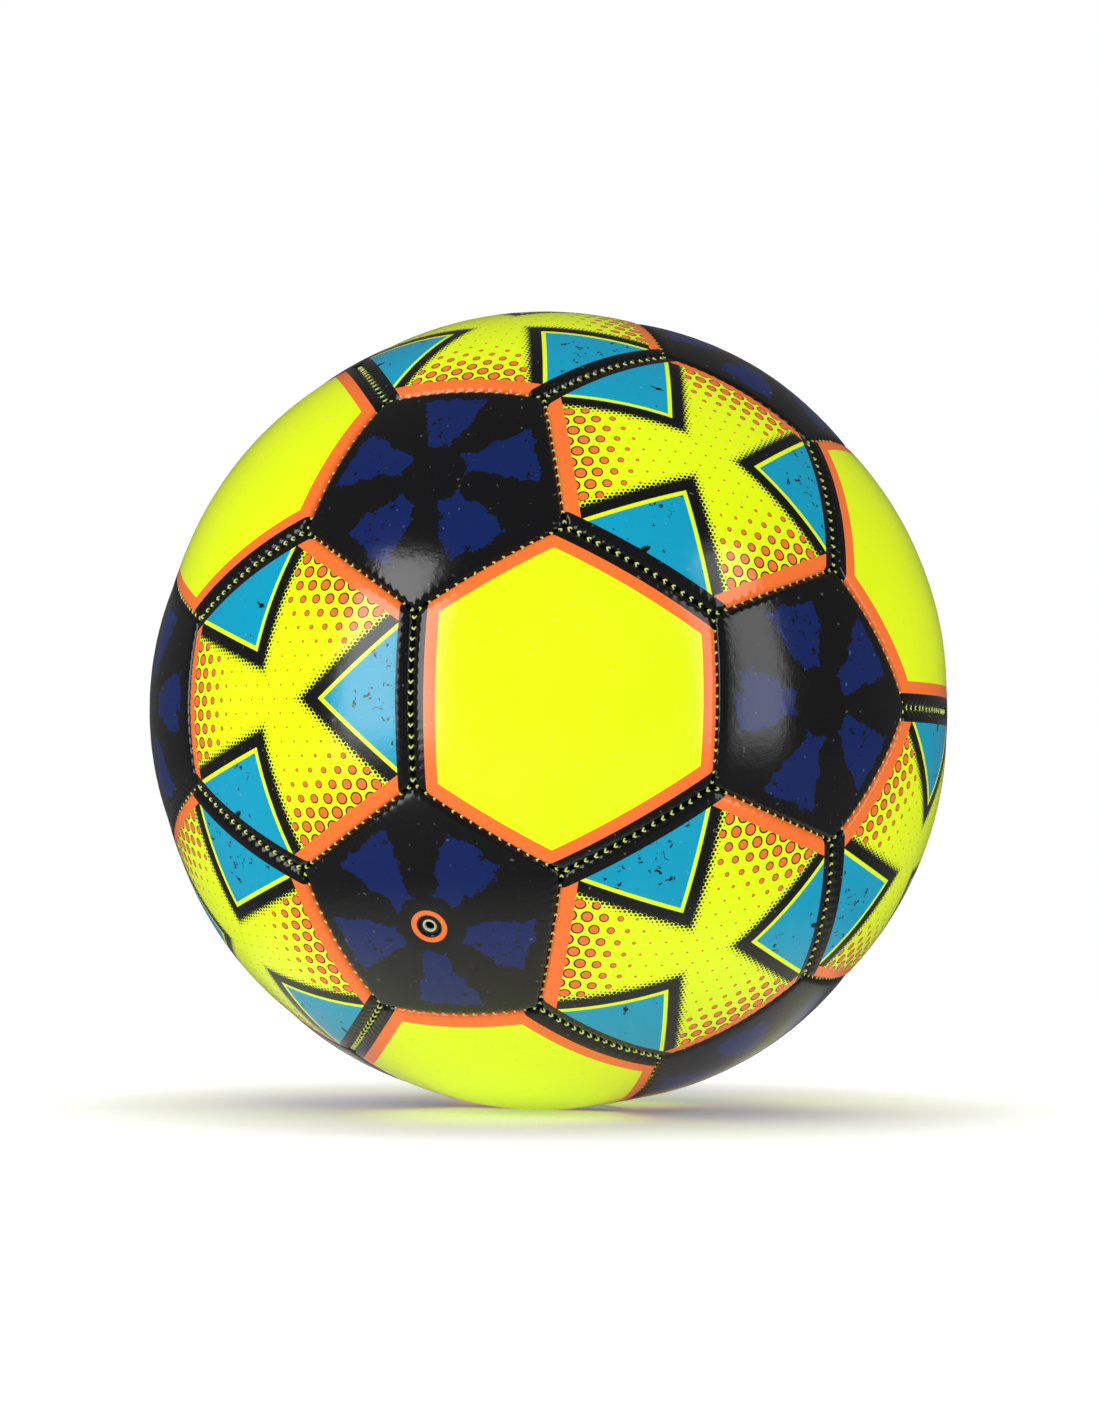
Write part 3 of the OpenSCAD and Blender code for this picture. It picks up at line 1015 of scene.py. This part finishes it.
class BALL_OT_seam_stitches(BallOperator, bpy.types.Operator):
    """Make the stitches that show in the seams"""

    bl_idname = "soccer_ball.seam_stitches"
    bl_label = "Seam Stitches"

    def execute(self, context):
        thread = fine_surface("sewing_thread", colours().thread, THREAD_FINISH)
        round_pentagons = [
            (pentagon, PENT_HALF, hexagon, HEX_HALF)
            for pentagon in pentagon_axes()
            for hexagon in at_angle(pentagon, hexagon_axes(), PENT_TO_HEX)
        ]
        between_hexagons = [
            (a, HEX_HALF, b, HEX_HALF)
            for a, b in itertools.combinations(hexagon_axes(), 2)
            if abs(angle_between(a, b) - 2 * HEX_HALF) < SAME_ANGLE
        ]
        kinds = (
            ("pentagon", round_pentagons, PENTAGON_LIFT),
            ("hexagon", between_hexagons, HEXAGON_LIFT),
        )
        for kind, seams, lift in kinds:
            mesh = seam_stitches(kind + "_seam_stitches", seams, lift)
            add_piece(mesh, kind + "_seam_thread", thread)
        return {"FINISHED"}


class BALL_OT_inner_finishes(BallOperator, bpy.types.Operator):
    """Finish the valve and the layers inside the cover"""

    bl_idname = "soccer_ball.inner_finishes"
    bl_label = "Valve and Inner Layers"

    def execute(self, context):
        tint = colours()
        foam = fine_surface("closed_cell_foam", tint.foam, FOAM_FINISH)
        lining = fine_surface("woven_lining", tint.lining, LINING_FINISH)
        bladder = fine_surface("bladder_rubber", tint.bladder, BLADDER_FINISH)
        boot = fine_surface("boot_rubber", tint.boot, BOOT_FINISH)
        # Plug rubber, with painted shade inside its hole
        plug = fine_surface("plug_rubber", tint.plug, PLUG_FINISH, sizes().needle_bore)
        finishes = {
            "pentagon_foam_pads": foam, "hexagon_foam_pads": foam,
            "pentagon_linings": lining, "hexagon_linings": lining,
            "bladder": bladder, "valve_patch": bladder, "valve_boot": boot, "valve_plug": plug,
        }
        for node, material in finishes.items():
            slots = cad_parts[node].data.materials
            slots.clear()
            slots.append(material)
        return {"FINISHED"}


class BALL_OT_stage(BallOperator, bpy.types.Operator):
    """Make the floor, the lamps, the world and the camera"""

    bl_idname = "soccer_ball.stage"
    bl_label = "Studio"

    def execute(self, context):
        scene = context.scene
        scene.view_settings.view_transform = "Standard"
        make_floor(scene)
        make_world(scene)
        make_lamps(scene)
        make_camera(scene)
        return {"FINISHED"}


# Floor: half its width, and where it fades out, in metres from the ball's centre
FLOOR_HALF = 3.0
FLOOR_FADE = (0.3, 1.0)
FLOOR_TONE = 0.82
FLOOR_ROUGHNESS = 0.9
# Floor's own light where the camera sees it, near the ball and further off, and between what reaches
FLOOR_GLOW = (0.15, 0.9)
GLOW_REACH = (0.12, 0.27)
# Floor's tone in a gloss, under the ball and further off, and between what reaches
GLOSS_TONES = (FLOOR_TONE, 0.1)
GLOSS_REACH = (0.13, 0.2)
# Floor's own light in a gloss, and on the ball
FLOOR_SHEEN = 0.04
FLOOR_BOUNCE = 0.36
# World's light where the camera sees it, in a gloss, and on the ball
WORLD_SHOWN = 1.0
WORLD_SHEEN = 0.1
WORLD_FILL = 0.7
WHITE = (1.0, 1.0, 1.0, 1.0)


def value_by_ray(wire, fill, shown, sheen):
    """One value for light on the ball, one where the camera looks and one in a gloss."""
    path = wire.node("ShaderNodeLightPath").outputs
    looked_at = wire.math("MAXIMUM", path["Is Camera Ray"], path["Is Transmission Ray"])
    to_shown = wire.math("MULTIPLY", looked_at, wire.math("SUBTRACT", shown, fill))
    to_sheen = wire.math("MULTIPLY", path["Is Glossy Ray"], wire.math("SUBTRACT", sheen, fill))
    return wire.math("ADD", fill, wire.math("ADD", to_shown, to_sheen))


def make_floor(scene):
    """White floor that keeps the ball's shadow and fades into the white round it."""
    low = CAD_BOX[0].z
    mesh = bpy.data.meshes.new("studio_floor")
    ways = ((-1, -1), (1, -1), (1, 1), (-1, 1))
    corners = [(x * FLOOR_HALF, y * FLOOR_HALF, low) for x, y in ways]
    mesh.from_pydata(corners, [], [range(len(corners))])
    floor = bpy.data.objects.new("studio_floor", mesh)
    scene.collection.objects.link(floor)
    material, wire, shader = new_material("studio_floor")
    from_ball = wire.vector("LENGTH", object_place(wire))
    in_gloss = wire.ramp(from_ball, *GLOSS_REACH, *GLOSS_TONES)
    tone = value_by_ray(wire, FLOOR_TONE, FLOOR_TONE, in_gloss)
    glow = wire.ramp(from_ball, *GLOW_REACH, *FLOOR_GLOW)
    strength = value_by_ray(wire, FLOOR_BOUNCE, glow, FLOOR_SHEEN)
    fade = wire.ramp(from_ball, *FLOOR_FADE, 1.0, 0.0)
    upper = wire.math("SUBTRACT", 1.0, wire.node("ShaderNodeNewGeometry").outputs["Backfacing"])
    wire.feed(shader, {"Base Color": tone, "Roughness": FLOOR_ROUGHNESS})
    wire.feed(shader, {"Emission Color": WHITE, "Emission Strength": strength})
    wire.feed(shader, {"Alpha": wire.math("MULTIPLY", fade, upper)})
    mesh.materials.append(material)


def make_world(scene):
    """White to the camera, with a soft fill on the ball and a dark grey in its gloss."""
    world = bpy.data.worlds.new("studio_world")
    scene.world = world
    world.use_nodes = True
    wire = Wiring(world.node_tree)
    strength = value_by_ray(wire, WORLD_FILL, WORLD_SHOWN, WORLD_SHEEN)
    wire.feed(world.node_tree.nodes["Background"], {"Color": WHITE, "Strength": strength})


# Lamps: name, degrees to the right of the camera and up, width and height in ball radii, watts,
# and whether a gloss shows them
LAMPS = (
    ("left_softbox", -47.0, 8.0, 3.6, 9.0, 4.8, True),
    ("right_softbox", 52.0, 10.0, 3.0, 9.0, 2.3, True),
    ("top_softbox", 180.0, 78.0, 15.0, 15.0, 3.5, False),
)
# Distance of the lamps from the ball's centre, in ball radii
LAMP_REACH = 9.5


def make_lamps(scene):
    """Large soft lamps that face the ball."""
    radius = sizes().radius
    for name, right, up, width, height, power, in_gloss in LAMPS:
        data = bpy.data.lights.new(name, "AREA")
        data.shape = "RECTANGLE"
        data.size = width * radius
        data.size_y = height * radius
        data.energy = power
        lamp = bpy.data.objects.new(name, data)
        lamp.visible_glossy = in_gloss
        scene.collection.objects.link(lamp)
        right, up = math.radians(right), math.radians(up)
        level = Vector((math.sin(right), -math.cos(right), 0.0))
        towards = level * math.cos(up) + Vector((0.0, 0.0, math.sin(up)))
        lamp.location = towards * LAMP_REACH * radius
        lamp.rotation_euler = towards.to_track_quat("Z", "Y").to_euler()


# Camera: direction from the ball's centre, up direction, distance in ball radii, and lens
CAMERA_FROM = (-0.0347, -0.9989, -0.0302)
CAMERA_UP = (-0.0088, -0.0299, 0.9995)
CAMERA_REACH = 10.562
SENSOR_MM = 36.0
LENS_MM = 106.8


def make_camera(scene):
    """Camera at the photograph's viewing angle."""
    data = bpy.data.cameras.new("photo_camera")
    data.sensor_width = SENSOR_MM
    data.lens = LENS_MM
    camera = bpy.data.objects.new("photo_camera", data)
    scene.collection.objects.link(camera)
    back = Vector(CAMERA_FROM).normalized()
    right = Vector(CAMERA_UP).cross(back).normalized()
    turn = Matrix((right, back.cross(right), back)).transposed().to_4x4()
    camera.matrix_world = Matrix.Translation(back * CAMERA_REACH * sizes().radius) @ turn
    scene.camera = camera


class BALL_PT_sidebar(bpy.types.Panel):
    """Sizes, print, colours and steps of the soccer ball"""

    bl_label = "Soccer Ball"
    bl_idname = "BALL_PT_sidebar"
    bl_space_type = "VIEW_3D"
    bl_region_type = "UI"
    bl_category = "Soccer Ball"

    def draw(self, context):
        layout = self.layout
        for name, kind in GROUPS:
            box = layout.box()
            for key in kind.__annotations__:
                box.prop(getattr(context.scene, name), key)
        for operator in OPERATORS:
            layout.operator(operator.bl_idname)


GROUPS = (("ball_sizes", BallSizes), ("ball_print", BallPrint), ("ball_colours", BallColours))
OPERATORS = (
    BALL_OT_hexagon_panels, BALL_OT_pentagon_panels, BALL_OT_seam_stitches,
    BALL_OT_inner_finishes, BALL_OT_stage,
)


def register():
    for key, group in GROUPS:
        bpy.utils.register_class(group)
        setattr(bpy.types.Scene, key, bpy.props.PointerProperty(type=group))
    for cls in (*OPERATORS, BALL_PT_sidebar):
        bpy.utils.register_class(cls)


def unregister():
    for cls in (BALL_PT_sidebar, *reversed(OPERATORS)):
        bpy.utils.unregister_class(cls)
    for key, group in reversed(GROUPS):
        delattr(bpy.types.Scene, key)
        bpy.utils.unregister_class(group)


def main():
    """Makes the ball and its studio."""
    register()
    bpy.ops.soccer_ball.hexagon_panels()
    bpy.ops.soccer_ball.pentagon_panels()
    bpy.ops.soccer_ball.seam_stitches()
    bpy.ops.soccer_ball.inner_finishes()
    bpy.ops.soccer_ball.stage()


if __name__ == "__main__":
    main()
